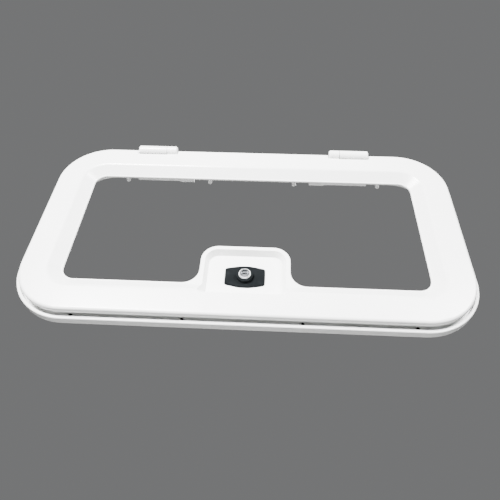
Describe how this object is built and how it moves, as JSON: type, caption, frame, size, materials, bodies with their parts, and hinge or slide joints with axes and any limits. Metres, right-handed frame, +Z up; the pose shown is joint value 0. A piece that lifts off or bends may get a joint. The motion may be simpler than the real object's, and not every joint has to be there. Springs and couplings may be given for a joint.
{
  "type": "caravan service hatch",
  "caption": "White moulded access hatch for a vehicle side wall: a door ring hinged along the top of a flanged base frame, with a dished key lock and open panel aperture.",
  "frame": {"origin": "middle of the lower flange's back face, on the wall plane and the hatch's centre line", "axes": "+X to the right seen from the front, +Y into the wall, +Z up; the front faces -Y"},
  "size_m": [0.71, 0.0585, 0.373],
  "materials": {
    "white_abs": "gloss white moulded plastic",
    "seal_rubber": "black foam rubber",
    "black_plastic": "satin black plastic",
    "lock_chrome": "satin chrome",
    "zinc_steel": "zinc plated steel"
  },
  "bodies": {
    "base": {"base_frame": "white_abs", "frame_spigot": "white_abs", "frame_seal": "seal_rubber", "strike_plate": "zinc_steel", "base_knuckle_left": "white_abs", "base_knuckle_right": "white_abs", "hinge_pin_left": "zinc_steel", "hinge_pin_right": "zinc_steel"},
    "door": {"door_ring": "white_abs", "screw_posts": "white_abs", "door_knuckle_left": "white_abs", "door_knuckle_right": "white_abs", "hinge_stiffener_left": "white_abs", "hinge_stiffener_right": "white_abs", "lock_plate": "black_plastic", "lock_collar": "black_plastic", "lock_barrel": "lock_chrome", "lock_nut": "zinc_steel"},
    "plug": {"lock_plug": "lock_chrome", "lock_cam": "zinc_steel", "cam_screw": "zinc_steel"}
  },
  "joints": [
    {"name": "door_hinge", "type": "hinge", "parent": "base", "child": "door", "pos_m": [0, -0.0275, 0.3467], "axis": [-1, 0, 0], "range_deg": [0, 170]},
    {"name": "lock_turn", "type": "hinge", "parent": "door", "child": "plug", "pos_m": [0, 0, 0.0745], "axis": [0, 1, 0], "range_deg": [0, 90]}
  ]
}
